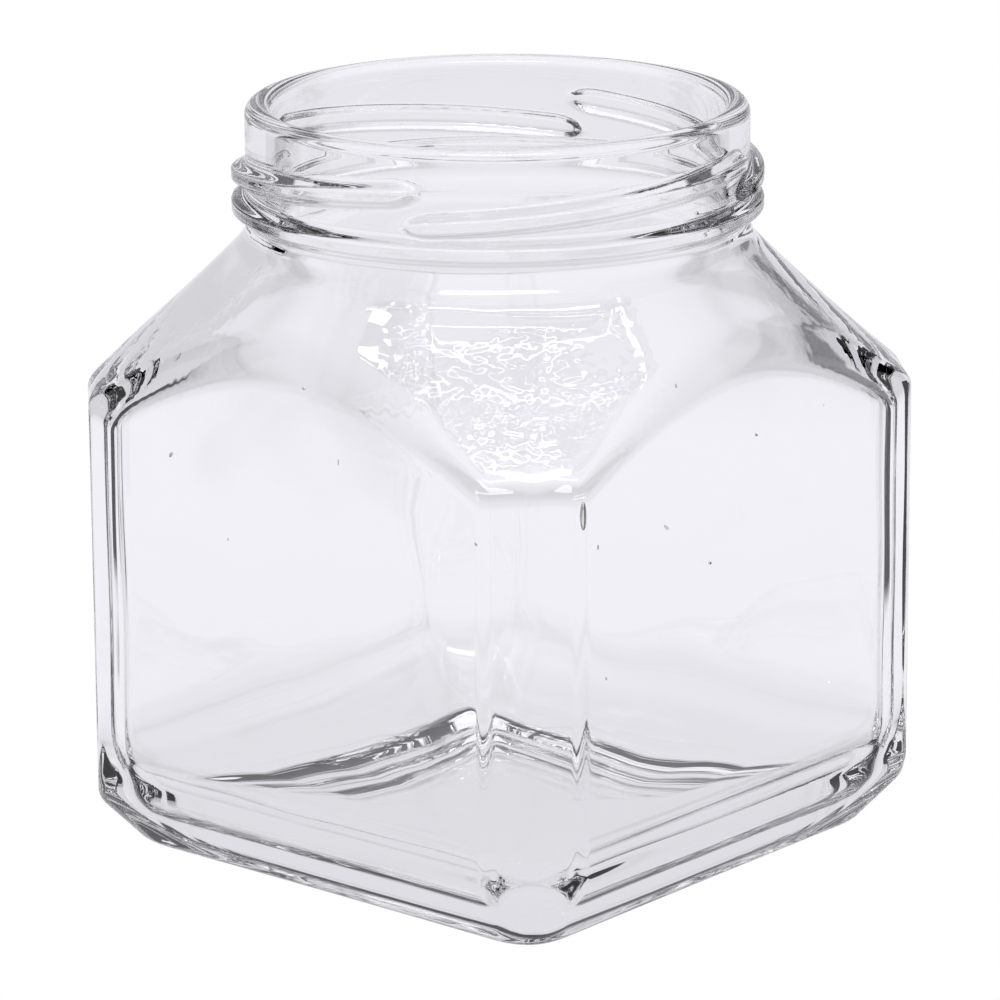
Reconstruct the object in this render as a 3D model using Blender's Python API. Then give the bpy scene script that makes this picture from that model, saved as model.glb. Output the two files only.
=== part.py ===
"""An open square glass jar: one blown solid with a round four-lug screw neck.

Metres, +Z up. The jar stands on z = 0 with its axis on Z, and its four flat panels
face +X, -X, +Y and -Y. Four narrow flats cut off the vertical corners. The shoulder is
a round, slightly domed cone, and the panels cut it into arches.
"""
import math

import bmesh
import bpy
from mathutils import Vector

# Body
SIDE = 0.0768               # across two facing panels
CORNER_WIDTH = 0.0107       # width of each vertical corner flat
HEIGHT = 0.0905             # base to rim
EDGE_ROUND = 0.0007         # softening of the upright edges, as a blend width
PANEL_WALL = 0.0025         # glass thickness in a panel
CORNER_WALL = 0.0032        # glass thickness in a corner flat
INNER_EDGE_ROUND = 0.0022   # softening of the cavity's upright edges

# Heel and base
HEEL_HEIGHT = 0.0091        # where the panels turn in towards the base
HEEL_INSET = 0.0065         # how far the base stands in from the panels
CORNER_HEEL_HEIGHT = 0.0060  # where the corner flats turn in
CORNER_HEEL_INSET = 0.0058   # how far it stands in from the corner flats
HEEL_ROUND = 0.0011         # softening where the heel starts
FOOT_ROUND = 0.0009         # softening at the edge of the base
FOOT_RING = 0.0034          # width of the flat ring that the jar stands on
PUSH_UP = 0.0016            # hollow under the base
FLOOR_HEIGHT = 0.0034       # cavity floor near the walls
FLOOR_DOME = 0.0004         # rise of the cavity floor at the middle
CAVITY_FILLET = 0.0120      # radius between the cavity's walls and floor

# Shoulder
NECK_BASE = 0.0748          # where the shoulder would meet the neck
CONE_SPREAD = 0.964         # how far the cone opens for each unit down, at its top
CONE_DOME = 5.8             # how much faster it opens further down, for each metre
CREASE_ROUND = 0.0028       # softening where the shoulder meets the panels
INNER_CREASE_ROUND = 0.0026
SHOULDER_WALL = 0.0046      # upright thickness of the shoulder's glass
NECK_FILLET = 0.0016        # softening where the shoulder meets the neck

# Neck finish
NECK_RADIUS = 0.0298
BORE_RADIUS = 0.0268
RIM_ROUND = 0.00145
BEAD_HEIGHT = 0.0785        # centre of the transfer bead below the threads
BEAD_HALF = 0.0017          # half the bead's height
BEAD_FULLNESS = 0.8         # under 1 makes the bead's profile fuller than a half circle
FINISH_RADIUS = 0.0315      # over the bead and over the threads

# Threads: four right-hand lugs, each a slanting ridge
LUGS = 4
LUG_FIRST = math.radians(-70.1)
LUG_SWEEP = math.radians(92.5)
LUG_LOW = 0.0812            # height of a lug's centre line at its low end
LUG_RISE = 0.0039
LUG_HALF = 0.0016           # half the ridge's height
LUG_FULLNESS = 0.7
LUG_ROOT = 0.0010           # how deep a lug is rooted in the neck
LUG_END = 0.0022            # length of each rounded end

# Mesh stations
PANEL_STEPS = 12            # columns across each panel
CORNER_STEPS = 2            # columns across each corner flat, between its edges
EDGE_SPREAD = 0.0007        # distance from an upright edge to the columns beside it
HOLLOW_SHARES = (0.4, 0.8, 1)           # from the middle of the base to its flat ring
FOOT_SHARES = (0, 0.1, 0.4, 1)          # up the foot's rounding
BLEND_SHARES = (-0.9, -0.45, 0, 0.45, 0.9)  # across a softened crease
SLOPE_SHARES = (0.35, 0.7)              # between two creases
FLOOR_SHARES = (0.7, 0.35)              # in from the edge of the cavity's floor
ROUND_STEPS = 6             # steps round the bead, the rim and the cavity's fillet
LUG_STATIONS = 13           # lengths of a lug between its ends
LUG_END_STEPS = 4
LUG_SIDES = 7
SHARP_ANGLE = math.radians(35)

HALF = SIDE / 2
CUT = (SIDE - CORNER_WIDTH / math.sqrt(2)) / math.sqrt(2)   # axis to a corner flat
EDGE_ANGLE = math.atan((HALF - CORNER_WIDTH / math.sqrt(2)) / HALF)


def smooth_min(a, b, width):
    """The lower of two values, blended where they differ by less than width."""
    near = max(width - abs(a - b), 0) / width
    return min(a, b) - near * near * width / 4


def smooth_max(a, b, width):
    """The higher of two values, blended in the same way."""
    return -smooth_min(-a, -b, width)


def square_radius(angle, half, cut, blend):
    """Axis to the outline of a square with cut corners, at an angle."""
    to_panel = abs((angle + math.pi / 4) % (math.pi / 2) - math.pi / 4)
    to_corner = math.pi / 4 - to_panel
    return smooth_min(half / math.cos(to_panel), cut / math.cos(to_corner), blend)


def shoulder_radius(z):
    """Axis to the domed cone of the shoulder."""
    drop = NECK_BASE - z
    return NECK_RADIUS + (CONE_SPREAD + CONE_DOME * drop) * drop


def crease_height(radius):
    """Height at which the shoulder has spread to this radius."""
    spread = CONE_SPREAD ** 2 + 4 * CONE_DOME * (radius - NECK_RADIUS)
    return NECK_BASE - (math.sqrt(spread) - CONE_SPREAD) / (2 * CONE_DOME)


def outer_wall(angle):
    """Axis to the upright outside of the body."""
    return square_radius(angle, HALF, CUT, EDGE_ROUND)


def inner_wall(angle, inset=0):
    """Axis to the upright inside of the body, or to a line inside it."""
    return square_radius(angle, HALF - PANEL_WALL - inset, CUT - CORNER_WALL - inset,
                         INNER_EDGE_ROUND)


def outer_radius(angle, z):
    """Outside of the body, from the foot up to the neck."""
    heel = square_radius(angle, HALF - HEEL_INSET * (1 - z / HEEL_HEIGHT),
                         CUT - CORNER_HEEL_INSET * (1 - z / CORNER_HEEL_HEIGHT), EDGE_ROUND)
    side = smooth_min(outer_wall(angle), heel, HEEL_ROUND)
    top = smooth_max(shoulder_radius(z), NECK_RADIUS, NECK_FILLET)
    foot = max(1 - z / FOOT_ROUND, 0)
    return smooth_min(side, top, CREASE_ROUND) - FOOT_ROUND * foot * foot


def inner_radius(angle, z):
    """Inside of the body, from the floor's fillet up to the bore."""
    top = smooth_max(shoulder_radius(z + SHOULDER_WALL), BORE_RADIUS, NECK_FILLET)
    return smooth_min(inner_wall(angle), top, INNER_CREASE_ROUND)


def column_angles():
    """Angles of the mesh's columns, with one on each upright edge and one beside it."""
    beside = EDGE_SPREAD / math.hypot(HALF, HALF * math.tan(EDGE_ANGLE))
    panel = 2 * EDGE_ANGLE - 2 * beside
    corner = math.pi / 2 - 2 * EDGE_ANGLE - 2 * beside
    angles = []
    for quarter in range(4):
        first = quarter * math.pi / 2 - EDGE_ANGLE
        last = quarter * math.pi / 2 + EDGE_ANGLE
        angles.append(first)
        angles += [first + beside + panel * i / PANEL_STEPS for i in range(PANEL_STEPS + 1)]
        angles.append(last)
        angles += [last + beside + corner * i / CORNER_STEPS for i in range(CORNER_STEPS + 1)]
    return angles


def ring(angles, radius, level):
    """Points round the axis, level(angle) up and radius(angle, height) out."""
    points = []
    for angle in angles:
        z = level(angle)
        r = radius(angle, z)
        points.append(Vector((r * math.cos(angle), r * math.sin(angle), z)))
    return points


def turned(angles, radius, z):
    """A level round ring."""
    return ring(angles, lambda angle, height: radius, lambda angle: z)


def base_rings(angles):
    """The hollow under the base, the ring that the jar stands on, and the foot's edge."""
    rings = []
    for share in HOLLOW_SHARES:
        rings.append(ring(angles, lambda angle, z: share * (outer_radius(angle, 0) - FOOT_RING),
                          lambda angle: PUSH_UP * (1 - share ** 3)))
    for share in FOOT_SHARES:
        rings.append(ring(angles, outer_radius, lambda angle: FOOT_ROUND * share))
    return rings


def body_rings(angles):
    """The outside from the heel to the foot of the neck."""
    def crease(angle, share):
        return crease_height(outer_wall(angle)) + share * CREASE_ROUND

    rings = []
    for z in (CORNER_HEEL_HEIGHT / 2, CORNER_HEEL_HEIGHT - HEEL_ROUND, CORNER_HEEL_HEIGHT,
              CORNER_HEEL_HEIGHT + HEEL_ROUND, HEEL_HEIGHT - HEEL_ROUND, HEEL_HEIGHT,
              HEEL_HEIGHT + HEEL_ROUND):
        rings.append(ring(angles, outer_radius, lambda angle: z))
    for share in BLEND_SHARES:
        rings.append(ring(angles, outer_radius, lambda angle: crease(angle, share)))
    top = NECK_BASE - NECK_FILLET
    for share in SLOPE_SHARES:
        rings.append(ring(angles, outer_radius, lambda angle: share * top
                          + (1 - share) * crease(angle, BLEND_SHARES[-1])))
    for share in (-1, 0, 1):
        rings.append(ring(angles, outer_radius, lambda angle: NECK_BASE + share * NECK_FILLET))
    return rings


def neck_rings(angles):
    """The round neck: transfer bead, threaded wall, rim and bore."""
    rings = []
    for step in range(ROUND_STEPS + 1):
        turn = math.pi * step / ROUND_STEPS
        proud = (FINISH_RADIUS - NECK_RADIUS) * math.sin(turn) ** BEAD_FULLNESS
        rings.append(turned(angles, NECK_RADIUS + proud, BEAD_HEIGHT - BEAD_HALF * math.cos(turn)))
    middle = (NECK_RADIUS + BORE_RADIUS) / 2
    for step in range(ROUND_STEPS + 1):
        turn = math.pi * step / ROUND_STEPS
        rings.append(turned(angles, middle + (NECK_RADIUS - middle) * math.cos(turn),
                            HEIGHT - RIM_ROUND * (1 - math.sin(turn))))
    return rings


def cavity_rings(angles):
    """The inside from the foot of the bore down to the floor."""
    def crease(angle, share):
        return crease_height(inner_wall(angle)) - SHOULDER_WALL + share * INNER_CREASE_ROUND

    rings = []
    bore_foot = crease_height(BORE_RADIUS) - SHOULDER_WALL
    for share in (1, 0, -1):
        rings.append(ring(angles, inner_radius, lambda angle: bore_foot + share * NECK_FILLET))
    for share in SLOPE_SHARES:
        rings.append(ring(angles, inner_radius,
                          lambda angle: (1 - share) * (bore_foot - NECK_FILLET)
                          + share * crease(angle, BLEND_SHARES[-1])))
    for share in reversed(BLEND_SHARES):
        rings.append(ring(angles, inner_radius, lambda angle: crease(angle, share)))
    for step in range(ROUND_STEPS):
        turn = math.pi / 2 * step / (ROUND_STEPS - 1)
        inset = CAVITY_FILLET * (1 - math.cos(turn))
        rise = CAVITY_FILLET * (1 - math.sin(turn))
        rings.append(ring(angles, lambda angle, z: inner_wall(angle, inset),
                          lambda angle: FLOOR_HEIGHT + rise))
    for share in FLOOR_SHARES:
        rings.append(ring(angles, lambda angle, z: share * inner_wall(angle, CAVITY_FILLET),
                          lambda angle: FLOOR_HEIGHT + FLOOR_DOME * (1 - share ** 2)))
    return rings


def skin(rings, first_pole, last_pole):
    """A closed mesh through the rings, with a point closing each end."""
    bm = bmesh.new()
    loops = [[bm.verts.new(point) for point in points] for points in rings]
    count = len(rings[0])
    for low, high in zip(loops, loops[1:]):
        for i in range(count):
            j = (i + 1) % count
            bm.faces.new((low[i], low[j], high[j], high[i]))
    start = bm.verts.new(first_pole)
    end = bm.verts.new(last_pole)
    for i in range(count):
        j = (i + 1) % count
        bm.faces.new((start, loops[0][j], loops[0][i]))
        bm.faces.new((end, loops[-1][i], loops[-1][j]))
    bm.normal_update()
    return bm


def lug_runs(length):
    """Distances along a lug of its cross-sections, closer together at the round ends."""
    ends = []
    for i in range(1, LUG_END_STEPS + 1):
        ends.append(LUG_END * (1 - math.cos(math.pi / 2 * i / LUG_END_STEPS)))
    straight = length - 2 * LUG_END
    between = [LUG_END + straight * i / LUG_STATIONS for i in range(1, LUG_STATIONS)]
    return ends + between + [length - run for run in reversed(ends)]


def lug_mesh(first):
    """One thread lug: a rounded ridge along a rising arc, thinned to nothing at both ends."""
    proud = FINISH_RADIUS - NECK_RADIUS
    length = LUG_SWEEP * NECK_RADIUS
    bm = bmesh.new()
    loops = []
    for run in lug_runs(length):
        angle = first + run / NECK_RADIUS
        centre = LUG_LOW + LUG_RISE * run / length
        to_end = min(run, length - run, LUG_END) / LUG_END
        fade = math.sqrt(1 - (1 - to_end) ** 2)
        loop = []
        for step in range(LUG_SIDES):
            turn = math.pi * step / (LUG_SIDES - 1)
            r = NECK_RADIUS + proud * fade * math.sin(turn) ** LUG_FULLNESS
            if step in (0, LUG_SIDES - 1):
                r = NECK_RADIUS - LUG_ROOT
            z = centre - LUG_HALF * fade * math.cos(turn)
            loop.append(bm.verts.new((r * math.cos(angle), r * math.sin(angle), z)))
        loops.append(loop)
    for near, far in zip(loops, loops[1:]):
        for i in range(LUG_SIDES):
            j = (i + 1) % LUG_SIDES
            bm.faces.new((near[i], far[i], far[j], near[j]))
    bm.faces.new(loops[0])
    bm.faces.new(tuple(reversed(loops[-1])))
    bmesh.ops.recalc_face_normals(bm, faces=bm.faces)
    return bm


def new_object(name, bm, collection):
    """An object of this name from a bmesh, in a collection."""
    mesh = bpy.data.meshes.new(name)
    bm.to_mesh(mesh)
    bm.free()
    thing = bpy.data.objects.new(name, mesh)
    collection.objects.link(thing)
    return thing


def unite_lugs(jar):
    """Joins the thread lugs to the neck with one Boolean union."""
    lugs = bpy.data.collections.new("lugs")
    bpy.context.scene.collection.children.link(lugs)
    for number in range(LUGS):
        first = LUG_FIRST + number * math.tau / LUGS
        new_object(f"lug_{number + 1}", lug_mesh(first), lugs)
    union = jar.modifiers.new("lugs", "BOOLEAN")
    union.operation = "UNION"
    union.solver = "EXACT"
    union.operand_type = "COLLECTION"
    union.collection = lugs
    bpy.context.view_layer.update()
    evaluated = jar.evaluated_get(bpy.context.evaluated_depsgraph_get())
    united = bpy.data.meshes.new_from_object(evaluated)
    jar.modifiers.clear()
    jar.data = united
    for lug in list(lugs.objects):
        bpy.data.objects.remove(lug)
    bpy.data.collections.remove(lugs)


def clear_glass():
    """Colourless container glass."""
    material = bpy.data.materials.new("clear_glass")
    material.use_nodes = True
    shader = material.node_tree.nodes["Principled BSDF"]
    shader.inputs["Base Color"].default_value = (0.93, 0.93, 0.95, 1)
    shader.inputs["Roughness"].default_value = 0.02
    shader.inputs["Metallic"].default_value = 0
    shader.inputs["IOR"].default_value = 1.52
    shader.inputs["Transmission Weight"].default_value = 1
    return material


def build_jar():
    """The whole jar as one object."""
    angles = column_angles()
    rings = base_rings(angles) + body_rings(angles) + neck_rings(angles) + cavity_rings(angles)
    bm = skin(rings, Vector((0, 0, PUSH_UP)), Vector((0, 0, FLOOR_HEIGHT + FLOOR_DOME)))
    jar = new_object("glass_jar", bm, bpy.context.scene.collection)
    unite_lugs(jar)
    jar.data.shade_smooth()
    jar.data.set_sharp_from_angle(angle=SHARP_ANGLE)
    jar.data.materials.clear()
    jar.data.materials.append(clear_glass())


for old in list(bpy.data.objects):
    bpy.data.objects.remove(old)
build_jar()
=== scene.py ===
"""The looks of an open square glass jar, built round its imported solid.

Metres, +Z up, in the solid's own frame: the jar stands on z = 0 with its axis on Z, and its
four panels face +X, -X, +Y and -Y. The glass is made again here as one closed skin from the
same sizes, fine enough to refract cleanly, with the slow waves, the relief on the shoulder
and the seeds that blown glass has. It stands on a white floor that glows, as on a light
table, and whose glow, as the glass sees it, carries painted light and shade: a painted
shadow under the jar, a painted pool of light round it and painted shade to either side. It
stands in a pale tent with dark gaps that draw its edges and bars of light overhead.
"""
import logging
import math
from dataclasses import dataclass
from enum import Enum
from typing import Any

import bpy
import numpy as np
from mathutils import Matrix, Vector


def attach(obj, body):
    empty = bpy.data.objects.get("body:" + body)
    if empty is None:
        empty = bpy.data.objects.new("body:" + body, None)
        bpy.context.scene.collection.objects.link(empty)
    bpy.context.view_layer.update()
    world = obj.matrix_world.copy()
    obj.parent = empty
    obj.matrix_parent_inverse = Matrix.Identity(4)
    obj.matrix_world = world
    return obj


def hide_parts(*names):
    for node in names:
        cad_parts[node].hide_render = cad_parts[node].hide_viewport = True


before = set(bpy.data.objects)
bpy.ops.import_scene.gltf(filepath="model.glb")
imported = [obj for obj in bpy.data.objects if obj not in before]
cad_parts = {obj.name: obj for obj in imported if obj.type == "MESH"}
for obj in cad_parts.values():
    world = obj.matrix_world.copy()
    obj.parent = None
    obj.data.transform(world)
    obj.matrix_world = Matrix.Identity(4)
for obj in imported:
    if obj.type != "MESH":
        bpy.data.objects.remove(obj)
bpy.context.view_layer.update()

log = logging.getLogger("square_jar")

Values = np.ndarray | float

LEAST_DIVISOR = 0.000001


def smooth_min(a: Values, b: Values, width: Values) -> np.ndarray:
    """The lower of two values, blended where they are close.

    Args:
        a: First value or values.
        b: Second value or values.
        width: The difference below which they blend.

    Returns:
        The blended lower values.
    """
    near = np.maximum(width - np.abs(a - b), 0) / width
    return np.minimum(a, b) - near * near * width / 4


def smooth_max(a: Values, b: Values, width: Values) -> np.ndarray:
    """The higher of two values, blended in the same way."""
    return -smooth_min(-a, -b, width)


def eased(share: Values) -> np.ndarray:
    """A share held between 0 and 1 that starts and ends level."""
    held = np.clip(share, 0, 1)
    return held * held * (3 - 2 * held)


def off_panel(angle: np.ndarray) -> np.ndarray:
    """How far each angle round the axis is from the middle of the nearest panel."""
    return np.abs((angle + math.pi / 4) % (math.pi / 2) - math.pi / 4)


@dataclass(frozen=True)
class Undulation:
    """Slow waves in blown glass, alike on every run."""

    depth: float
    length: float
    seed: int
    waves: int = 11
    shortest: float = 0.55
    longest: float = 1.7

    def at(self, points: np.ndarray) -> np.ndarray:
        """Height of the waves.

        Args:
            points: Places in the jar's frame, with x, y and z last.

        Returns:
            One height for each place, either side of nothing.
        """
        chance = np.random.default_rng(self.seed)
        total = np.zeros(points.shape[:-1])
        for _ in range(self.waves):
            run = chance.normal(size=3)
            run *= math.tau / (np.linalg.norm(run) * self.length)
            run /= chance.uniform(self.shortest, self.longest)
            total += np.sin(points @ run + chance.uniform(0, math.tau))
        return self.depth * total / math.sqrt(self.waves)


@dataclass(frozen=True)
class SquarePlan:
    """The jar seen from above: a square with a narrow flat across each corner."""

    side: float = 0.0768
    corner_width: float = 0.0107

    @property
    def half(self) -> float:
        """Axis to a panel."""
        return self.side / 2

    @property
    def cut(self) -> float:
        """Axis to a corner flat."""
        return (self.side - self.corner_width / math.sqrt(2)) / math.sqrt(2)

    @property
    def edge_angle(self) -> float:
        """From the middle of a panel to its upright edge, round the axis."""
        return math.atan((self.half - self.corner_width / math.sqrt(2)) / self.half)

    @property
    def edge_radius(self) -> float:
        """Axis to an upright edge."""
        return self.half / math.cos(self.edge_angle)

    def radius(self, angle: np.ndarray, inset: Values, corner_inset: Values,
               blend: Values) -> np.ndarray:
        """Axis to the outline or to a line inside it.

        Args:
            angle: Angles round the axis.
            inset: How far the panels stand in.
            corner_inset: How far the corner flats stand in.
            blend: Softening where the two meet.

        Returns:
            One radius for each angle.
        """
        to_panel = off_panel(angle)
        panel = (self.half - inset) / np.cos(to_panel)
        corner = (self.cut - corner_inset) / np.cos(math.pi / 4 - to_panel)
        return smooth_min(panel, corner, blend)


@dataclass(frozen=True)
class Columns:
    """The mesh's columns round the axis, closer together at the upright edges."""

    plan: SquarePlan
    panel: int = 56
    edge: int = 9
    corner: int = 11
    edge_reach: float = 0.0012

    def angles(self) -> np.ndarray:
        """The angle of every column, once round.

        Returns:
            The angles, in order.
        """
        reach = self.edge_reach / self.plan.edge_radius
        edge = self.plan.edge_angle
        first = np.linspace(-edge - reach, -edge + reach, self.edge, endpoint=False)
        middle = np.linspace(-edge + reach, edge - reach, self.panel, endpoint=False)
        last = np.linspace(edge - reach, edge + reach, self.edge, endpoint=False)
        flat = np.linspace(edge + reach, math.pi / 2 - edge - reach, self.corner, endpoint=False)
        quarter = np.concatenate([first, middle, last, flat])
        return np.concatenate([quarter + turn * math.pi / 2 for turn in range(4)])


@dataclass(frozen=True)
class Shoulder:
    """The round, slightly domed cone between the panels and the neck."""

    neck_base: float = 0.0748
    neck_radius: float = 0.0298
    spread: float = 0.964
    dome: float = 5.8

    def radius(self, z: np.ndarray) -> np.ndarray:
        """Axis to the cone at these heights."""
        drop = self.neck_base - z
        return self.neck_radius + (self.spread + self.dome * drop) * drop

    def height(self, radius: Values) -> np.ndarray:
        """Where the cone has spread to this radius."""
        spread = self.spread ** 2 + 4 * self.dome * (radius - self.neck_radius)
        return self.neck_base - (np.sqrt(spread) - self.spread) / (2 * self.dome)


@dataclass(frozen=True)
class Body:
    """The outside from the hollow base up to the foot of the neck."""

    plan: SquarePlan
    shoulder: Shoulder
    edge_round: float = 0.0007
    heel_height: float = 0.0091
    heel_inset: float = 0.0065
    corner_heel_height: float = 0.0060
    corner_heel_inset: float = 0.0058
    heel_round: float = 0.0011
    base_corner_round: float = 0.0022
    foot_round: float = 0.0009
    foot_ring: float = 0.0034
    push_up: float = 0.0016
    crease_round: float = 0.0028
    crease_edge_round: float = 0.0011
    crease_reach: float = 0.010
    neck_fillet: float = 0.0016
    heel_reach: float = 1.4
    crease_margin: float = 1.05
    fillet_margin: float = 1.2
    hollow_rings: int = 10
    foot_rings: int = 9
    heel_rings: int = 22
    panel_rings: int = 12
    crease_rings: int = 18
    slope_rings: int = 26
    fillet_rings: int = 8

    def wall(self, angle: np.ndarray) -> np.ndarray:
        """Axis to the upright sides."""
        return self.plan.radius(angle, 0, 0, self.edge_round)

    def crease_width(self, angle: np.ndarray) -> np.ndarray:
        """Softening of the crease under the shoulder, tighter close to the upright edges.

        Args:
            angle: Angles round the axis.

        Returns:
            One blend width for each angle.
        """
        away = np.abs(off_panel(angle) - self.plan.edge_angle) * self.plan.edge_radius
        wide = eased(away / self.crease_reach)
        return self.crease_edge_round + wide * (self.crease_round - self.crease_edge_round)

    def radius(self, angle: np.ndarray, z: np.ndarray) -> np.ndarray:
        """Axis to the outside.

        Args:
            angle: Angles round the axis.
            z: Heights, one for each angle.

        Returns:
            One radius for each.
        """
        low = 1 - z / self.heel_height
        corner_low = 1 - z / self.corner_heel_height
        blend = self.edge_round + eased(low) * (self.base_corner_round - self.edge_round)
        heel = self.plan.radius(angle, self.heel_inset * low, self.corner_heel_inset * corner_low,
                                blend)
        side = smooth_min(self.wall(angle), heel, self.heel_round)
        top = smooth_max(self.shoulder.radius(z), self.shoulder.neck_radius, self.neck_fillet)
        foot = np.maximum(1 - z / self.foot_round, 0)
        return smooth_min(side, top, self.crease_width(angle)) - self.foot_round * foot * foot

    def rings(self, angle: np.ndarray) -> list[np.ndarray]:
        """Rings from the middle of the base to the foot of the neck.

        Args:
            angle: The mesh's columns.

        Returns:
            One array of points for each ring.
        """
        made = []
        base = self.radius(angle, np.zeros_like(angle)) - self.foot_ring
        for share in np.linspace(0, 1, self.hollow_rings + 1)[1:]:
            made.append(ring_points(angle, share * base, self.push_up * (1 - share ** 3)))
        levels = [self.foot_round * share ** 2 for share in np.linspace(0, 1, self.foot_rings)]
        heel_top = self.heel_height + self.heel_reach * self.heel_round
        levels += list(np.linspace(self.foot_round, heel_top, self.heel_rings + 1)[1:])
        crease = self.shoulder.height(self.wall(angle))
        low = crease - self.crease_margin * self.crease_width(angle)
        high = crease + self.crease_margin * self.crease_width(angle)
        levels += between(heel_top, low, self.panel_rings)
        levels += between(low, high, self.crease_rings)
        slope_top = self.shoulder.neck_base - self.fillet_margin * self.neck_fillet
        fillet_top = self.shoulder.neck_base + self.fillet_margin * self.neck_fillet
        levels += between(high, slope_top, self.slope_rings)
        levels += between(slope_top, fillet_top, self.fillet_rings)
        for level in levels:
            z = np.broadcast_to(level, angle.shape)
            made.append(ring_points(angle, self.radius(angle, z), z))
        return made


def ring_points(angle: np.ndarray, radius: Values, z: Values) -> np.ndarray:
    """Points round the axis at these radii and heights."""
    z = np.broadcast_to(z, angle.shape)
    return np.stack([radius * np.cos(angle), radius * np.sin(angle), z], axis=-1)


def between(low: Values, high: Values, steps: int) -> list[np.ndarray]:
    """Levels that climb from low to high, without the first."""
    return [low + (high - low) * step / steps for step in range(1, steps + 1)]


@dataclass(frozen=True)
class ThreadLugs:
    """Four right-hand lugs, each a slanting ridge with tapered ends.

    A little less than the whole crest is level, so that the ridge still has a slope where
    it runs out.
    """

    count: int = 4
    first: float = math.radians(-70.1)
    sweep: float = math.radians(92.5)
    low: float = 0.0812
    rise: float = 0.0039
    half: float = 0.00175
    crest: float = 0.0005
    end: float = 0.0034
    proud: float = 0.0017
    level_share: float = 0.99

    def height(self, angle: np.ndarray, z: np.ndarray, radius: float) -> np.ndarray:
        """How far the lugs stand out of the neck.

        Args:
            angle: Angles round the axis.
            z: Heights, one for each angle.
            radius: Axis to the neck, which the lugs are laid out round.

        Returns:
            One height for each angle.
        """
        tallest = np.zeros_like(angle)
        length = self.sweep * radius
        for number in range(self.count):
            start = self.first + number * math.tau / self.count
            spare = (math.tau - self.sweep) / 2
            turned = (angle - start + spare) % math.tau - spare
            run = turned * radius
            centre = self.low + self.rise * run / length
            to_end = np.clip(np.minimum(run, length - run) / self.end, 0, 1)
            fade = np.sqrt(to_end * (2 - to_end))
            half = np.maximum(self.half * fade, self.crest)
            slope = half - self.crest * fade * self.level_share
            share = eased((half - np.abs(z - centre)) / slope)
            tallest = np.maximum(tallest, self.proud * fade * share)
        return tallest


@dataclass(frozen=True)
class NeckFinish:
    """The round neck: transfer bead, threaded wall and rounded rim."""

    shoulder: Shoulder
    lugs: ThreadLugs
    height: float = 0.0905
    bore_radius: float = 0.0268
    rim_round: float = 0.00145
    bead_height: float = 0.0785
    bead_half: float = 0.0018
    bead_crest: float = 0.0005
    bead_proud: float = 0.0017
    wall_rings: int = 62
    rim_rings: int = 18

    def rings(self, angle: np.ndarray, bottom: float) -> list[np.ndarray]:
        """Rings up the neck and over its rim.

        Args:
            angle: The mesh's columns.
            bottom: Height of the last ring of the body.

        Returns:
            One array of points for each ring.
        """
        made = []
        radius = self.shoulder.neck_radius
        shoulder = self.height - self.rim_round
        for level in between(bottom, shoulder, self.wall_rings)[:-1]:
            z = np.full_like(angle, level)
            away = abs(level - self.bead_height)
            bead = self.bead_proud * eased((self.bead_half - away)
                                           / (self.bead_half - self.bead_crest))
            proud = np.maximum(bead, self.lugs.height(angle, z, radius))
            made.append(ring_points(angle, radius + proud, z))
        middle = (radius + self.bore_radius) / 2
        for step in range(self.rim_rings + 1):
            turn = math.pi * step / self.rim_rings
            made.append(ring_points(angle, middle + (radius - middle) * math.cos(turn),
                                    shoulder + self.rim_round * math.sin(turn)))
        return made


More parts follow.
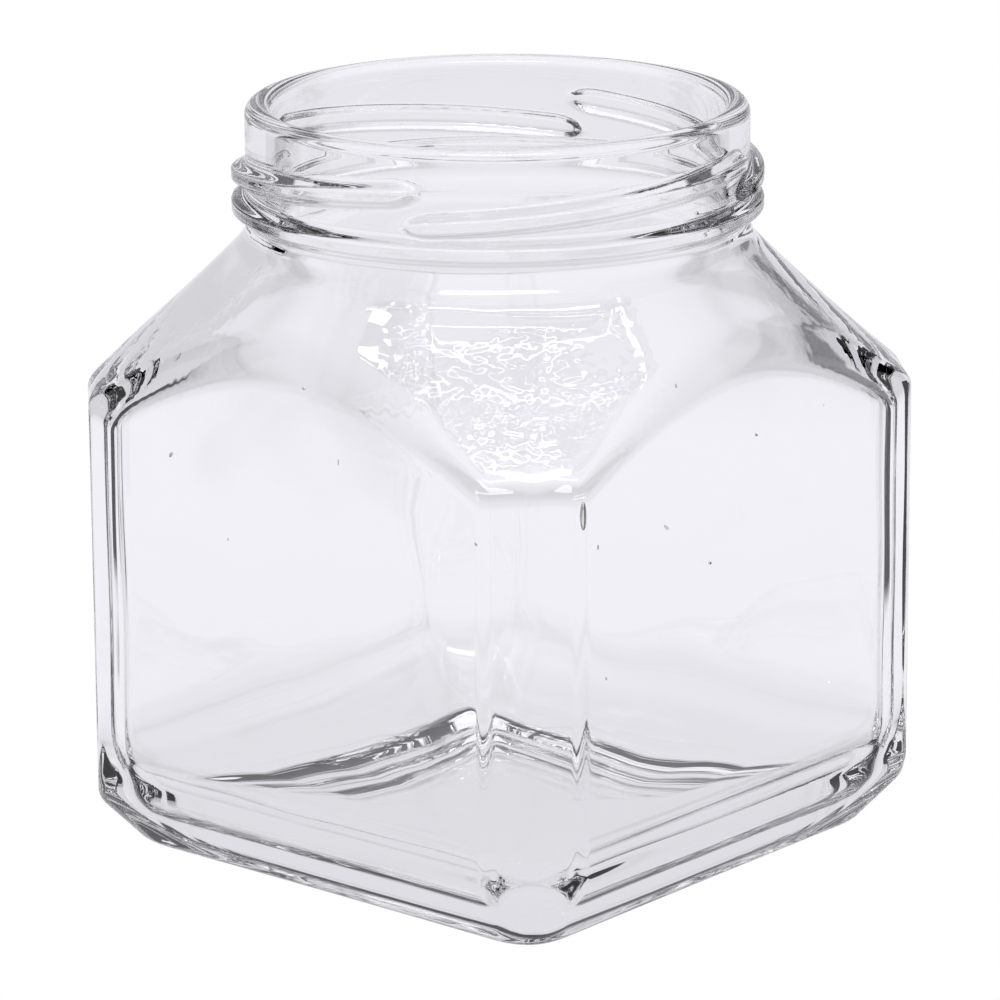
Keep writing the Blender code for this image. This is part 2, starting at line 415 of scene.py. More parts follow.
@dataclass(frozen=True)
class Cavity:
    """The inside, which follows the outside at the thickness of the wall.

    The corner that faces the direction called front has tighter inner edges than the
    others. Waves run all over, but not close to the rim.
    """

    plan: SquarePlan
    shoulder: Shoulder
    neck: NeckFinish
    panel_wall: float = 0.0025
    corner_wall: float = 0.0032
    edge_round: float = 0.0022
    front_edge_round: float = 0.0005
    front: float = math.radians(-45)
    front_from: float = 0.75
    front_full: float = 0.95
    floor_height: float = 0.0034
    floor_dome: float = 0.0004
    fillet: float = 0.0120
    crease_round: float = 0.0026
    shoulder_wall: float = 0.0046
    neck_fillet: float = 0.0016
    wall_waves: Undulation = Undulation(depth=0.00012, length=0.022, seed=7)
    floor_waves: Undulation = Undulation(depth=0.00004, length=0.007, seed=19)
    drawn_out: float = 0.22
    squareness: int = 8
    fillet_margin: float = 1.2
    calm_below_rim: float = 0.004
    calm_fade: float = 0.01
    floor_reach: float = 1.3
    bore_rings: int = 12
    foot_rings: int = 8
    slope_rings: int = 18
    crease_rings: int = 12
    wall_rings: int = 14
    fillet_rings: int = 16
    floor_rings: int = 14

    def wall(self, angle: np.ndarray, inset: float = 0) -> np.ndarray:
        """Axis to the upright inside, or to a line inside it.

        The front corner's inner edges are tighter than the others, as blown glass varies.

        Args:
            angle: Angles round the axis.
            inset: How far inside the wall's own line.

        Returns:
            One radius for each angle.
        """
        front = np.cos(angle - self.front) - self.front_from
        tight = eased(front / (self.front_full - self.front_from))
        edge = self.edge_round + tight * (self.front_edge_round - self.edge_round)
        return self.plan.radius(angle, self.panel_wall + inset, self.corner_wall + inset, edge)

    def radius(self, angle: np.ndarray, z: np.ndarray) -> np.ndarray:
        """Axis to the inside, from the floor's fillet up to the bore.

        Args:
            angle: Angles round the axis.
            z: Heights, one for each angle.

        Returns:
            One radius for each.
        """
        cone = self.shoulder.radius(z + self.shoulder_wall)
        top = smooth_max(cone, self.neck.bore_radius, self.neck_fillet)
        return smooth_min(self.wall(angle), top, self.crease_round)

    def rings(self, angle: np.ndarray) -> list[np.ndarray]:
        """Rings from the foot of the rim down to the middle of the floor.

        Args:
            angle: The mesh's columns.

        Returns:
            One array of points for each ring.
        """
        bore_top = self.neck.height - self.neck.rim_round
        bore_foot = self.shoulder.height(self.neck.bore_radius) - self.shoulder_wall
        crease = self.shoulder.height(self.wall(angle)) - self.shoulder_wall
        slope_top = bore_foot - self.fillet_margin * self.neck_fillet
        slope_foot = crease + self.crease_round
        floor_top = self.floor_height + self.fillet
        bore_low = bore_foot + self.fillet_margin * self.neck_fillet
        levels = between(bore_top, bore_low, self.bore_rings)
        levels += between(levels[-1], slope_top, self.foot_rings)
        levels += between(slope_top, slope_foot, self.slope_rings)
        levels += between(slope_foot, crease - self.crease_round, self.crease_rings)
        levels += between(crease - self.crease_round, floor_top, self.wall_rings)
        made = []
        for level in levels:
            z = np.broadcast_to(level, angle.shape)
            made.append(self.waved(angle, self.radius(angle, z), z))
        for step in range(1, self.fillet_rings + 1):
            turn = math.pi / 2 * step / self.fillet_rings
            z = floor_top - self.fillet * math.sin(turn)
            radius = self.wall(angle, self.fillet * (1 - math.cos(turn)))
            made.append(self.waved(angle, radius, z))
        edge = self.wall(angle, self.fillet)
        for share in np.linspace(1, 0, self.floor_rings + 1)[1:-1]:
            z = self.floor_height + self.floor_dome * (1 - share ** 2)
            made.append(self.waved(angle, share * edge, z))
        return made

    def waved(self, angle: np.ndarray, radius: np.ndarray, z: Values) -> np.ndarray:
        """One ring, moved by the waves of its wall or of the floor.

        Args:
            angle: The mesh's columns.
            radius: Axis to the inside before it is moved.
            z: The ring's height or heights.

        Returns:
            The ring's points.
        """
        points = ring_points(angle, radius, z)
        calm = self.neck.height - self.calm_below_rim
        high = eased((calm - points[:, 2]) / self.calm_fade)
        wall = self.wall_waves.at(points) * high
        top = self.floor_height + self.floor_reach * self.fillet
        low = eased((top - points[:, 2]) / self.fillet)
        outward = np.stack([np.cos(angle), np.sin(angle), np.zeros_like(angle)], axis=-1)
        points = points + outward * (wall * (1 - low))[:, None]
        points[:, 2] += self.floor_waves.at(self.along_walls(points)) * low
        return points

    def along_walls(self, points: np.ndarray) -> np.ndarray:
        """Places for the floor's waves, so that they run along the walls.

        Args:
            points: Places in the jar's frame.

        Returns:
            The same places, drawn out along the walls.
        """
        outward = (points[:, :2] ** self.squareness).sum(axis=-1) ** (1 / self.squareness)
        return np.stack([points[:, 0] * self.drawn_out, points[:, 1] * self.drawn_out,
                         outward + points[:, 2]], axis=-1)


@dataclass(frozen=True)
class GlassJar:
    """The whole jar as one closed skin."""

    columns: Columns
    body: Body
    neck: NeckFinish
    cavity: Cavity
    name: str = "jar_glass"

    def build(self) -> bpy.types.Object:
        """Makes the skin from its rings, with a point closing each end.

        Returns:
            The jar, smooth shaded.
        """
        angle = self.columns.angles()
        rings = self.body.rings(angle)
        rings += self.neck.rings(angle, rings[-1][0, 2])
        rings += self.cavity.rings(angle)
        count = len(angle)
        points = np.concatenate(rings)
        base = (0, 0, self.body.push_up)
        floor = (0, 0, rings[-1][:, 2].mean())
        points = np.concatenate([points, [base, floor]])
        here = np.arange(count)
        after = (here + 1) % count
        faces = []
        for row in range(len(rings) - 1):
            low, high = row * count, (row + 1) * count
            quads = np.stack([low + here, low + after, high + after, high + here], axis=-1)
            faces += quads.tolist()
        first, last = len(points) - 2, len(points) - 1
        top = (len(rings) - 1) * count
        faces += np.stack([np.full(count, first), after, here], axis=-1).tolist()
        faces += np.stack([np.full(count, last), top + here, top + after], axis=-1).tolist()
        mesh = bpy.data.meshes.new(self.name)
        mesh.from_pydata(points.tolist(), [], faces)
        mesh.validate()
        mesh.shade_smooth()
        jar = bpy.data.objects.new(self.name, mesh)
        bpy.context.scene.collection.objects.link(jar)
        return jar


class Side(Enum):
    """The four panels, by the angle that each faces."""

    RIGHT = 0
    BACK = 90
    LEFT = 180
    FRONT = 270


@dataclass(frozen=True)
class Seed:
    """A small bubble in a panel's glass: where it is, how long and how slim."""

    side: Side
    across: float
    z: float
    length: float
    slant: float = 0.0
    slimness: float = 0.5


@dataclass(frozen=True)
class Seeds:
    """Bubbles left in the glass, each a drawn-out closed shell within the wall."""

    plan: SquarePlan
    cavity: Cavity
    seeds: tuple[Seed, ...]
    segments: int = 16
    loops: int = 10
    name: str = "glass_seeds"

    def build(self) -> bpy.types.Object:
        """Makes every bubble in one mesh, facing inwards because it is a hole in glass.

        Returns:
            The bubbles as one object.
        """
        points, faces = [], []
        for seed in self.seeds:
            start = len(points)
            points += [tuple(point) for point in self.shell(seed)]
            faces += [[start + i for i in face] for face in self.shell_faces()]
        mesh = bpy.data.meshes.new(self.name)
        mesh.from_pydata(points, [], faces)
        mesh.shade_smooth()
        bubbles = bpy.data.objects.new(self.name, mesh)
        bpy.context.scene.collection.objects.link(bubbles)
        return bubbles

    def shell(self, seed: Seed) -> list[Vector]:
        """The points of one bubble, pole to pole.

        Args:
            seed: Where the bubble is, and how large.

        Returns:
            Its points, row by row, and then the two poles.
        """
        turn = math.radians(seed.side.value)
        depth = self.plan.half - self.cavity.panel_wall / 2
        centre = Vector((depth, seed.across, seed.z))
        tilt = Matrix.Rotation(seed.slant, 4, "X")
        face = Matrix.Rotation(turn, 4, "Z")
        thick = seed.length * seed.slimness
        points = []
        for loop in range(1, self.loops):
            polar = math.pi * loop / self.loops
            for segment in range(self.segments):
                round_it = math.tau * segment / self.segments
                spot = Vector((thick * math.sin(polar) * math.cos(round_it),
                               thick * math.sin(polar) * math.sin(round_it),
                               seed.length * math.cos(polar))) / 2
                points.append(face @ (centre + tilt @ spot))
        for end in (1, -1):
            points.append(face @ (centre + tilt @ Vector((0, 0, end * seed.length / 2))))
        return points

    def shell_faces(self) -> list[list[int]]:
        """The faces of one bubble, wound so that they face its middle.

        Returns:
            The numbers of each face's points.
        """
        faces = []
        rows = self.loops - 1
        for row in range(rows - 1):
            for i in range(self.segments):
                j = (i + 1) % self.segments
                low, high = row * self.segments, (row + 1) * self.segments
                faces.append([low + i, low + j, high + j, high + i])
        top, bottom = rows * self.segments, rows * self.segments + 1
        last = (rows - 1) * self.segments
        for i in range(self.segments):
            j = (i + 1) % self.segments
            faces.append([top, j, i])
            faces.append([bottom, last + i, last + j])
        return faces


class Sock:
    """A shader socket that shader maths can be written with."""

    def __init__(self, kit: "NodeKit", socket: bpy.types.NodeSocket) -> None:
        self.kit = kit
        self.socket = socket

    def _with(self, operation: str, *others: Any) -> "Sock":
        """A Math node on this socket and others."""
        return self.kit.maths(operation, self, *others)

    def __add__(self, other: Any) -> "Sock":
        """self + other"""
        return self._with("ADD", other)

    __radd__ = __add__

    def __sub__(self, other: Any) -> "Sock":
        """self - other"""
        return self._with("SUBTRACT", other)

    def __rsub__(self, other: Any) -> "Sock":
        """other - self"""
        return self.kit.maths("SUBTRACT", other, self)

    def __mul__(self, other: Any) -> "Sock":
        """self * other"""
        return self._with("MULTIPLY", other)

    __rmul__ = __mul__

    def __truediv__(self, other: Any) -> "Sock":
        """self / other"""
        return self._with("DIVIDE", other)

    def size(self) -> "Sock":
        """The value without its sign."""
        return self._with("ABSOLUTE")

    def at_least(self, other: Any) -> "Sock":
        """The value or the other, whichever is higher."""
        return self._with("MAXIMUM", other)

    def at_most(self, other: Any) -> "Sock":
        """The value or the other, whichever is lower."""
        return self._with("MINIMUM", other)


class NodeKit:
    """Adds nodes to one tree."""

    def __init__(self, tree: bpy.types.NodeTree) -> None:
        """Empties the tree."""
        self.tree = tree
        tree.nodes.clear()

    def add(self, kind: str, settings: dict[str, Any] | None = None,
            sockets: dict[str | int, Any] | None = None) -> bpy.types.Node:
        """One node, its settings first and then its sockets.

        Args:
            kind: The node's type.
            settings: Its properties. A ramp's "stops" are pairs of a place and a colour.
            sockets: A value, a socket or a Sock for each of its inputs, by name or number.

        Returns:
            The node.
        """
        node = self.tree.nodes.new(kind)
        for name, value in (settings or {}).items():
            if name == "stops":
                self._set_stops(node.color_ramp, value)
            else:
                setattr(node, name, value)
        for name, value in (sockets or {}).items():
            self.feed(node.inputs[name], value)
        return node

    def _set_stops(self, ramp: bpy.types.ColorRamp, stops: list[tuple[float, Any]]) -> None:
        """Gives a ramp its stops.

        Args:
            ramp: The node's ramp.
            stops: Pairs of a place and a colour.
        """
        while len(ramp.elements) < len(stops):
            ramp.elements.new(1)
        for element, (place, colour) in zip(ramp.elements, stops):
            element.position = place
            element.color = colour

    def feed(self, target: bpy.types.NodeSocket, value: Any) -> None:
        """Links a socket, or sets it to a plain value.

        Args:
            target: The input.
            value: A Sock, a socket or a plain value.
        """
        if isinstance(value, Sock):
            self.tree.links.new(value.socket, target)
        elif isinstance(value, bpy.types.NodeSocket):
            self.tree.links.new(value, target)
        else:
            target.default_value = value

    def sock(self, node: bpy.types.Node, output: str | int = 0) -> Sock:
        """One output of a node, ready for maths."""
        return Sock(self, node.outputs[output])

    def maths(self, operation: str, *values: Any) -> Sock:
        """A Math node on these values."""
        return self.sock(self.add("ShaderNodeMath", {"operation": operation},
                                  dict(enumerate(values))))

    def dot(self, direction: Any, other: Any) -> Sock:
        """How far one vector reaches along another."""
        return self.sock(self.add("ShaderNodeVectorMath", {"operation": "DOT_PRODUCT"},
                                  {0: direction, 1: other}), "Value")

    def eased(self, value: Sock, low: float, high: float) -> Sock:
        """0 below low and 1 above high, smooth between them."""
        return self.sock(self.add("ShaderNodeMapRange", {"interpolation_type": "SMOOTHSTEP"},
                                  {"Value": value, "From Min": low, "From Max": high}))

    def noise(self, place: Any, scale: float, detail: float = 2.0,
              distortion: float = 0.0) -> Sock:
        """Noise between 0 and 1 at a place."""
        return self.sock(self.add("ShaderNodeTexNoise", None,
                                  {"Vector": place, "Scale": scale, "Detail": detail,
                                   "Distortion": distortion}))


@dataclass(frozen=True)
class GlassFinish:
    """Clear container glass: faintly lavender, smooth, with relief pressed into its shoulders."""

    name: str = "clear_glass"
    ior: float = 1.52
    tint: tuple[float, float, float, float] = (1.0, 1.0, 1.0, 1)
    passes: tuple[float, float, float, float] = (0.70, 0.72, 0.68, 1)
    density: float = 3.5
    haze: float = 0.02
    smear_size: float = 0.02
    smear_detail: float = 3.0
    smear_twist: float = 0.4
    smear_from: float = 0.55
    smear_full: float = 0.8
    hammer_size: float = 0.0011
    hammer_depth: float = 0.000006
    hammer_low_depth: float = 0.000016
    hammer_deepens: float = 0.0635
    hammer_fade: float = 0.001
    hammer_low: float = 0.0555
    hammer_high: float = 0.0697
    hammer_side_high: float = 0.0735
    corner_from: float = 0.27
    corner_full: float = 0.34
    middle_from: float = 0.38
    middle_full: float = 0.43
    ripple_size: float = 0.012
    ripple_depth: float = 0.00002

    def material(self) -> bpy.types.Material:
        """Builds the shader.

        Returns:
            The material, for every piece of this glass.
        """
        made = bpy.data.materials.new(self.name)
        made.use_nodes = True
        kit = NodeKit(made.node_tree)
        place = kit.add("ShaderNodeTexCoord").outputs["Object"]
        normal = self._relief(kit, place)
        smear = kit.noise(place, 1 / self.smear_size, self.smear_detail, self.smear_twist)
        haze = kit.eased(smear, self.smear_from, self.smear_full) * self.haze
        shader = kit.add("ShaderNodeBsdfPrincipled", None, {
            "Base Color": self.tint,
            "Roughness": haze,
            "IOR": self.ior,
            "Transmission Weight": 1.0,
            "Normal": normal,
        })
        volume = kit.add("ShaderNodeVolumeAbsorption", None,
                         {"Color": self.passes, "Density": self.density})
        kit.add("ShaderNodeOutputMaterial", None, {
            "Surface": shader.outputs[0],
            "Volume": volume.outputs[0],
        })
        return made

    def _relief(self, kit: NodeKit, place: bpy.types.NodeSocket) -> Sock:
        """Hammered relief on the shoulder's corners, and faint ripples all over.

        Args:
            kit: The material's nodes.
            place: Where the glass is, in the jar's frame.

        Returns:
            The bumped normal.
        """
        parts = kit.add("ShaderNodeSeparateXYZ", None, {"Vector": place})
        across, along = kit.sock(parts, "X").size(), kit.sock(parts, "Y").size()
        height = kit.sock(parts, "Z")
        diagonal = across * along / (across * across + along * along).at_least(LEAST_DIVISOR)
        corner = kit.eased(diagonal, self.corner_from, self.corner_full)
        beside = 1 - kit.eased(diagonal, self.middle_from, self.middle_full)
        top = self.hammer_high + beside * (self.hammer_side_high - self.hammer_high)
        band = kit.eased(height, self.hammer_low, self.hammer_low + self.hammer_fade)
        band = band * (1 - kit.eased(height - top, -self.hammer_fade, 0.0))
        deep = 1 - kit.eased(height, self.hammer_deepens - self.hammer_fade, self.hammer_deepens)
        deep = deep.at_least(beside)
        depth = self.hammer_depth + deep * (self.hammer_low_depth - self.hammer_depth)
        hammer = kit.noise(place, 1 / self.hammer_size, 0.0)
        ripple = kit.noise(place, 1 / self.ripple_size, 1.0)
        level = hammer * corner * band * depth + ripple * self.ripple_depth
        bump = kit.add("ShaderNodeBump", None,
                       {"Strength": 1.0, "Distance": 1.0, "Height": level})
        return kit.sock(bump)


@dataclass(frozen=True)
class PhotoCamera:
    """The photograph's viewpoint."""

    lens: float = 198.206
    azimuth: float = math.radians(40.592)
    elevation: float = math.radians(15.287)
    roll: float = math.radians(-0.348)
    distance: float = 0.661304
    aim_height: float = 0.041463
    aim_right: float = 0.0000369
    nearest: float = 0.01

    def build(self) -> bpy.types.Object:
        """Places the camera and makes it the scene's own.

        Returns:
            The camera.
        """
        right = Vector((math.cos(self.azimuth), math.sin(self.azimuth), 0))
        back = Vector((math.sin(self.azimuth) * math.cos(self.elevation),
                       -math.cos(self.azimuth) * math.cos(self.elevation),
                       math.sin(self.elevation)))
        up = back.cross(right)
        level_right = right * math.cos(self.roll) + up * math.sin(self.roll)
        level_up = up * math.cos(self.roll) - right * math.sin(self.roll)
        place = Vector((0, 0, self.aim_height)) + right * self.aim_right + back * self.distance
        lens = bpy.data.cameras.new("photo_camera")
        lens.lens = self.lens
        lens.clip_start = self.nearest
        camera = bpy.data.objects.new("photo_camera", lens)
        turn = Matrix((level_right, level_up, back)).transposed()
        camera.matrix_world = Matrix.Translation(place) @ turn.to_4x4()
        bpy.context.scene.collection.objects.link(camera)
        bpy.context.scene.camera = camera
        return camera


@dataclass(frozen=True)
class Glint:
    """A bright line on the front shoulder: where it runs round the cone, and its width.

    The angles are in degrees from the direction that the bars face, and rise to the right.
    A lifted bar lies above the others, so they hide it.
    """

    start: float
    end: float
    start_z: float
    middle_z: float
    end_z: float
    width: float
    glow: float
    lift: float = 0.0


@dataclass(frozen=True)
class OverheadWindow:
    """Bars of light above the jar, each laid where the shoulder mirrors it to the camera."""

    shoulder: Shoulder
    eye: Vector
    height: float = 0.9
    steps: int = 24
    facing: float = math.radians(-49.4)

    def build(self, glints: tuple[Glint, ...]) -> bpy.types.Object:
        """Makes every bar in one mesh.

        Args:
            glints: The bright lines that the bars are to show.

        Returns:
            The bars, which the camera doesn't see itself.
        """
        points, faces, glows = [], [], []
        for glint in glints:
            first = len(points)
            for step in range(self.steps + 1):
                share = step / self.steps
                angle = self.facing + math.radians(glint.start + share * (glint.end - glint.start))
                z = ((1 - share) * (1 - 2 * share) * glint.start_z
                     + 4 * share * (1 - share) * glint.middle_z
                     + share * (2 * share - 1) * glint.end_z)
                for side in (-0.5, 0.5):
                    points.append(self.mirrored(angle, z + side * glint.width, glint.lift))
            for step in range(self.steps):
                low = first + 2 * step
                faces.append((low, low + 1, low + 3, low + 2))
                glows.append(glint.glow)
        mesh = bpy.data.meshes.new("window_bars")
        mesh.from_pydata(points, [], faces)
        glow = mesh.attributes.new("glow", "FLOAT", "FACE")
        glow.data.foreach_set("value", glows)
        bars = bpy.data.objects.new("window_bars", mesh)
        bars.visible_camera = False
        bpy.context.scene.collection.objects.link(bars)
        mesh.materials.append(self.material())
        return bars

    def mirrored(self, angle: float, z: float, lift: float) -> Vector:
        """Where the camera's ray goes, off the shoulder and up to the bars or above them.

        Args:
            angle: Where on the cone, round the axis.
            z: How high on the cone.
            lift: How far above the bars' own height.

        Returns:
            The place that the shoulder mirrors to the camera.
        """
        drop = self.shoulder.neck_base - z
        radius = float(self.shoulder.radius(z))
        slope = self.shoulder.spread + 2 * self.shoulder.dome * drop
        out = Vector((math.cos(angle), math.sin(angle), 0))
        point = out * radius + Vector((0, 0, z))
        normal = (out + Vector((0, 0, slope))).normalized()
        view = (point - self.eye).normalized()
        bounced = view - 2 * view.dot(normal) * normal
        return point + bounced * ((self.height + lift - z) / bounced.z)

    def material(self) -> bpy.types.Material:
        """Plain light of each bar's own strength.

        Returns:
            The material.
        """
        made = bpy.data.materials.new("window_light")
        made.use_nodes = True
        kit = NodeKit(made.node_tree)
        glow = kit.add("ShaderNodeAttribute", {"attribute_name": "glow"}).outputs["Fac"]
        light = kit.add("ShaderNodeVectorMath", {"operation": "SCALE"},
                        {0: (1, 1, 1), "Scale": glow}).outputs[0]
        shader = kit.add("ShaderNodeEmission", None, {"Color": light, "Strength": 1.0})
        kit.add("ShaderNodeOutputMaterial", None, {"Surface": shader.outputs[0]})
        made.cycles.emission_sampling = "NONE"
        return made


@dataclass(frozen=True)
class Studio:
    """A glowing white floor in a pale tent, with dark gaps and a box of light at the front.

    The camera sees plain white. Everything else, so also what the glass shows, sees the
    floor and the tent with the light and shade that they have here; the floor's are painted
    into its glow: a painted shadow under the jar, a painted pool of light round it and painted
    shade to either side. The two called soft are the shares of a reach or a height at which
    its edge starts to fade.
    """

    behind: float = math.radians(130.592)
    bounces: int = 22
    gloss_bounces: int = 12
    floor_size: float = 6.0
    floor_drop: float = 0.00005
    # Painted light and shade: the floor's glow by distance from the axis, as the glass sees it, is
    # darker out to 45 mm as a painted shadow under the jar, brightest from 80 to 200 mm as a
    # painted pool of light, and dimmer farther off.
    floor_painted_light_and_shadow: tuple[tuple[float, float], ...] = (
        (0.000, 0.74), (0.045, 0.74), (0.080, 0.89), (0.20, 0.90), (0.32, 0.82), (0.70, 0.77),
        (1.50, 0.70))
    glow_reach: float = 2.0
    tint: tuple[float, float, float] = (1.0, 0.99, 1.05)
    low_glow: float = 0.66
    front_glow: float = 0.85
    high_glow: float = 1.0
    # How dark the tent's side gaps are, and the painted shade laid on the floor in their
    # direction.
    gap_and_painted_shade_glow: float = 0.02
    side_start: float = 0.23
    side_full: float = 0.31
    side_fades: float = 0.7
    side_end: float = 0.8
    side_height: float = 0.6
    # Painted shade: how far out the floor starts to darken towards the tent's side gaps.
    painted_side_shade_from: float = 0.15
    side_soft: float = 0.8
    soft: float = 0.9
    front_full: float = 0.5
    high_from: float = 0.55
    high_full: float = 0.8
    gap_turn: float = math.radians(-52)
    gap_half: float = math.radians(26)
    gap_edge: float = math.radians(31.2)
    gap_height: float = 0.42
    gap_glow: float = 0.2
    box_height: float = 0.80
    box_half: float = 0.035
    box_reach: float = 0.35
    box_from: float = 0.1
    box_full: float = 0.2
    box_glow: float = 6.0

    def build(self) -> None:
        """Makes the floor and the surroundings, and says how far light is followed."""
        scene = bpy.context.scene
        scene.view_settings.view_transform = "Standard"
        scene.cycles.max_bounces = self.bounces
        scene.cycles.glossy_bounces = self.gloss_bounces
        scene.cycles.transmission_bounces = self.gloss_bounces
        self._floor()
        self._surroundings()

    def _heading(self, turn: float) -> tuple[float, float, float]:
        """A level direction, turned from the one straight away from the camera."""
        return (math.cos(self.behind + turn), math.sin(self.behind + turn), 0)

    def _sideways(self, kit: NodeKit, direction: Any) -> Sock:
        """The dark gaps to either side and a little behind; on the floor these directions get
        painted shade.

        Args:
            kit: The nodes to add to.
            direction: A place or a direction from the jar's axis.

        Returns:
            1 in the gaps, 0 elsewhere.
        """
        across = kit.dot(direction, self._heading(-math.pi / 2)).size()
        along = kit.dot(direction, self._heading(0))
        slant = along / across.at_least(LEAST_DIVISOR)
        behind = kit.eased(slant, self.side_start, self.side_full)
        return behind * (1 - kit.eased(slant, self.side_fades, self.side_end))

    def _seen_white(self, kit: NodeKit, level: Sock) -> bpy.types.NodeSocket:
        """The tinted light of this level, or plain white to the camera.

        Args:
            kit: The nodes to add to.
            level: How bright the floor or the tent is.

        Returns:
            The colour to glow with.
        """
        glow = kit.add("ShaderNodeVectorMath", {"operation": "SCALE"},
                       {0: self.tint, "Scale": level}).outputs[0]
        camera = kit.add("ShaderNodeLightPath").outputs["Is Camera Ray"]
        return kit.add("ShaderNodeMix", {"data_type": "RGBA"},
                       {0: camera, 6: glow, 7: (1, 1, 1, 1)}).outputs[2]

    def _floor(self) -> None:
        """The floor that the jar stands on, its glow painted with shadow, light and shade."""
        reach = self.floor_size / 2
        corners = [(-reach, -reach, 0), (reach, -reach, 0), (reach, reach, 0), (-reach, reach, 0)]
        mesh = bpy.data.meshes.new("floor")
        mesh.from_pydata(corners, [], [(0, 1, 2, 3)])
        floor = bpy.data.objects.new("floor", mesh)
        floor.location.z = -self.floor_drop
        bpy.context.scene.collection.objects.link(floor)
        made = bpy.data.materials.new("white_floor")
        made.use_nodes = True
        kit = NodeKit(made.node_tree)
        place = kit.add("ShaderNodeTexCoord").outputs["Object"]
        away = kit.sock(kit.add("ShaderNodeVectorMath", {"operation": "LENGTH"}, {0: place}),
                        "Value")
        # Painted light and shade: the glow falls with distance from the axis, with a painted
        # shadow under the jar and a painted pool of light round it.
        stops = [(far / self.glow_reach, (glow, glow, glow, 1)) for far, glow in self.floor_painted_light_and_shadow]
        ramp = kit.add("ShaderNodeValToRGB", {"stops": stops}, {"Fac": away / self.glow_reach})
        # Painted shade: the floor is darkened to near black on either side of the jar, some way
        # out, towards the tent's side gaps.
        far = kit.eased(away, self.painted_side_shade_from * self.side_soft, self.painted_side_shade_from)
        side = self._sideways(kit, place) * far
        level = kit.sock(ramp) * (1 - side) + side * self.gap_and_painted_shade_glow
        shader = kit.add("ShaderNodeEmission", None,
                         {"Color": self._seen_white(kit, level), "Strength": 1.0})
        kit.add("ShaderNodeOutputMaterial", None, {"Surface": shader.outputs[0]})
        made.cycles.emission_sampling = "NONE"
        mesh.materials.append(made)

    def _surroundings(self) -> None:
        """The tent: dim low behind the jar, dark in its gaps, bright above and in its box."""
        world = bpy.data.worlds.new("studio")
        bpy.context.scene.world = world
        world.use_nodes = True
        kit = NodeKit(world.node_tree)
        look = kit.add("ShaderNodeTexCoord").outputs["Generated"]
        height = kit.sock(kit.add("ShaderNodeSeparateXYZ", None, {"Vector": look}), "Z")
        front = kit.eased(kit.dot(look, self._heading(math.pi)), 0.0, self.front_full)
        low = self.low_glow + front * (self.front_glow - self.low_glow)
        high = kit.eased(height, self.high_from, self.high_full)
        open_glow = low + high * (self.high_glow - low)
        side = self._sideways(kit, look)
        side = side * (1 - kit.eased(height, self.side_height * self.soft, self.side_height))
        level = open_glow * (1 - side) + side * self.gap_and_painted_shade_glow
        gap = kit.eased(kit.dot(look, self._heading(self.gap_turn)),
                        math.cos(self.gap_edge), math.cos(self.gap_half))
        gap = gap * (1 - kit.eased(height, self.gap_height * self.side_soft, self.gap_height))
        level = level * (1 - gap) + gap * level.at_most(self.gap_glow)
        off_box = (height - self.box_height).size()
        box = 1 - kit.eased(off_box, self.box_half * self.soft, self.box_half)
        beside = kit.dot(look, self._heading(math.pi / 2)).size()
        box = box * (1 - kit.eased(beside, self.box_reach * self.soft, self.box_reach))
        level = level + box * kit.eased(front, self.box_from, self.box_full) * self.box_glow
        shader = kit.add("ShaderNodeBackground", None,
                         {"Color": self._seen_white(kit, level), "Strength": 1.0})
        kit.add("ShaderNodeOutputWorld", None, {"Surface": shader.outputs[0]})


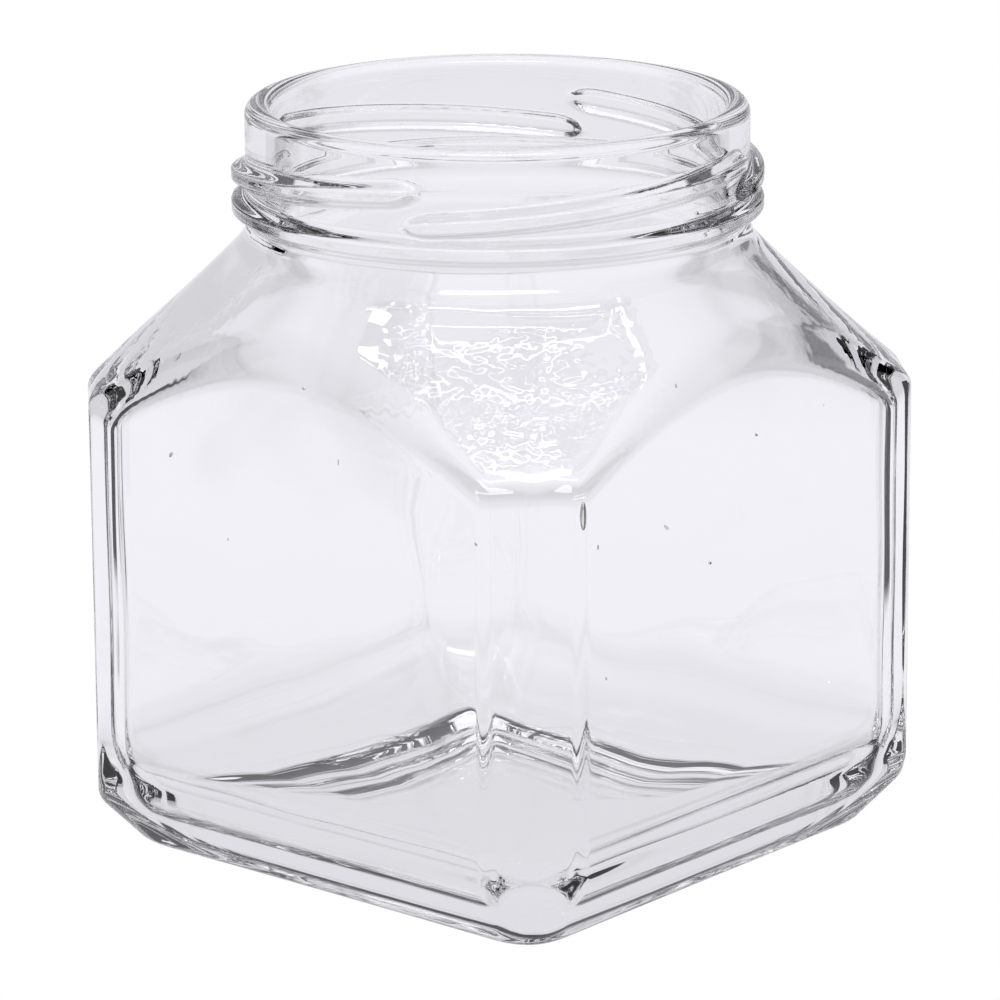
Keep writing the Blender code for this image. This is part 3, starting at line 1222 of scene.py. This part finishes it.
def main() -> None:
    """Builds the jar, dresses it and sets up the studio."""
    logging.basicConfig(level=logging.INFO, format="%(name)s: %(message)s")
    plan = SquarePlan()
    shoulder = Shoulder()
    neck = NeckFinish(shoulder, ThreadLugs())
    cavity = Cavity(plan, shoulder, neck)
    glass = GlassFinish().material()

    jar = GlassJar(Columns(plan), Body(plan, shoulder), neck, cavity).build()
    jar.data.materials.append(glass)
    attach(jar, "root")
    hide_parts("glass_jar")
    log.info("%s: %d faces", jar.name, len(jar.data.polygons))

    bubbles = Seeds(plan, cavity, (
        Seed(Side.RIGHT, -0.0273, 0.0483, 0.0006),
        Seed(Side.FRONT, 0.0288, 0.0493, 0.0005, 0.6),
        Seed(Side.RIGHT, -0.0071, 0.0420, 0.0007, 1.2),
        Seed(Side.FRONT, -0.0181, 0.0518, 0.0008, -0.7),
        Seed(Side.FRONT, 0.0031, 0.0631, 0.0005, 1.4),
        Seed(Side.RIGHT, -0.0129, 0.0639, 0.0005),
        Seed(Side.RIGHT, 0.0014, 0.0555, 0.0006, 1.0),
        Seed(Side.FRONT, -0.0092, 0.0431, 0.0004),
        Seed(Side.RIGHT, -0.0259, 0.0326, 0.0005, 0.4),
        Seed(Side.LEFT, -0.0105, 0.0380, 0.0006, 0.3),
        Seed(Side.LEFT, 0.0172, 0.0557, 0.0005, 1.1),
        Seed(Side.BACK, 0.0061, 0.0291, 0.0006, -0.5),
        Seed(Side.BACK, -0.0188, 0.0494, 0.0005),
        # The long streak high on the front corner's right edge.
        Seed(Side.RIGHT, -0.0296, 0.0524, 0.0033, 0.0, 0.19),
    )).build()
    bubbles.data.materials.append(glass)
    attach(bubbles, "root")
    log.info("%s: %d faces", bubbles.name, len(bubbles.data.polygons))

    camera = PhotoCamera().build()
    Studio().build()
    OverheadWindow(shoulder, camera.matrix_world.translation).build((
        Glint(-26, 28, 0.0660, 0.0655, 0.0660, 0.0170, 0, 0.03),
        Glint(-18, 21, 0.0726, 0.0727, 0.0726, 0.0003, 10),
        Glint(-17, 17, 0.0707, 0.0709, 0.0707, 0.0001, 7),
        Glint(-20, 23, 0.0699, 0.0684, 0.0700, 0.0004, 9),
        Glint(-26, -22, 0.0714, 0.0714, 0.0714, 0.0014, 10),
        Glint(-26, -20, 0.0678, 0.0678, 0.0678, 0.0012, 10),
        Glint(24.8, 25.8, 0.0697, 0.0697, 0.0697, 0.0054, 10),
        Glint(-17, 20, 0.0655, 0.0643, 0.0639, 0.0003, 9),
        Glint(-5, 8, 0.0592, 0.0592, 0.0592, 0.0010, 10),
    ))


if __name__ == "__main__":
    main()
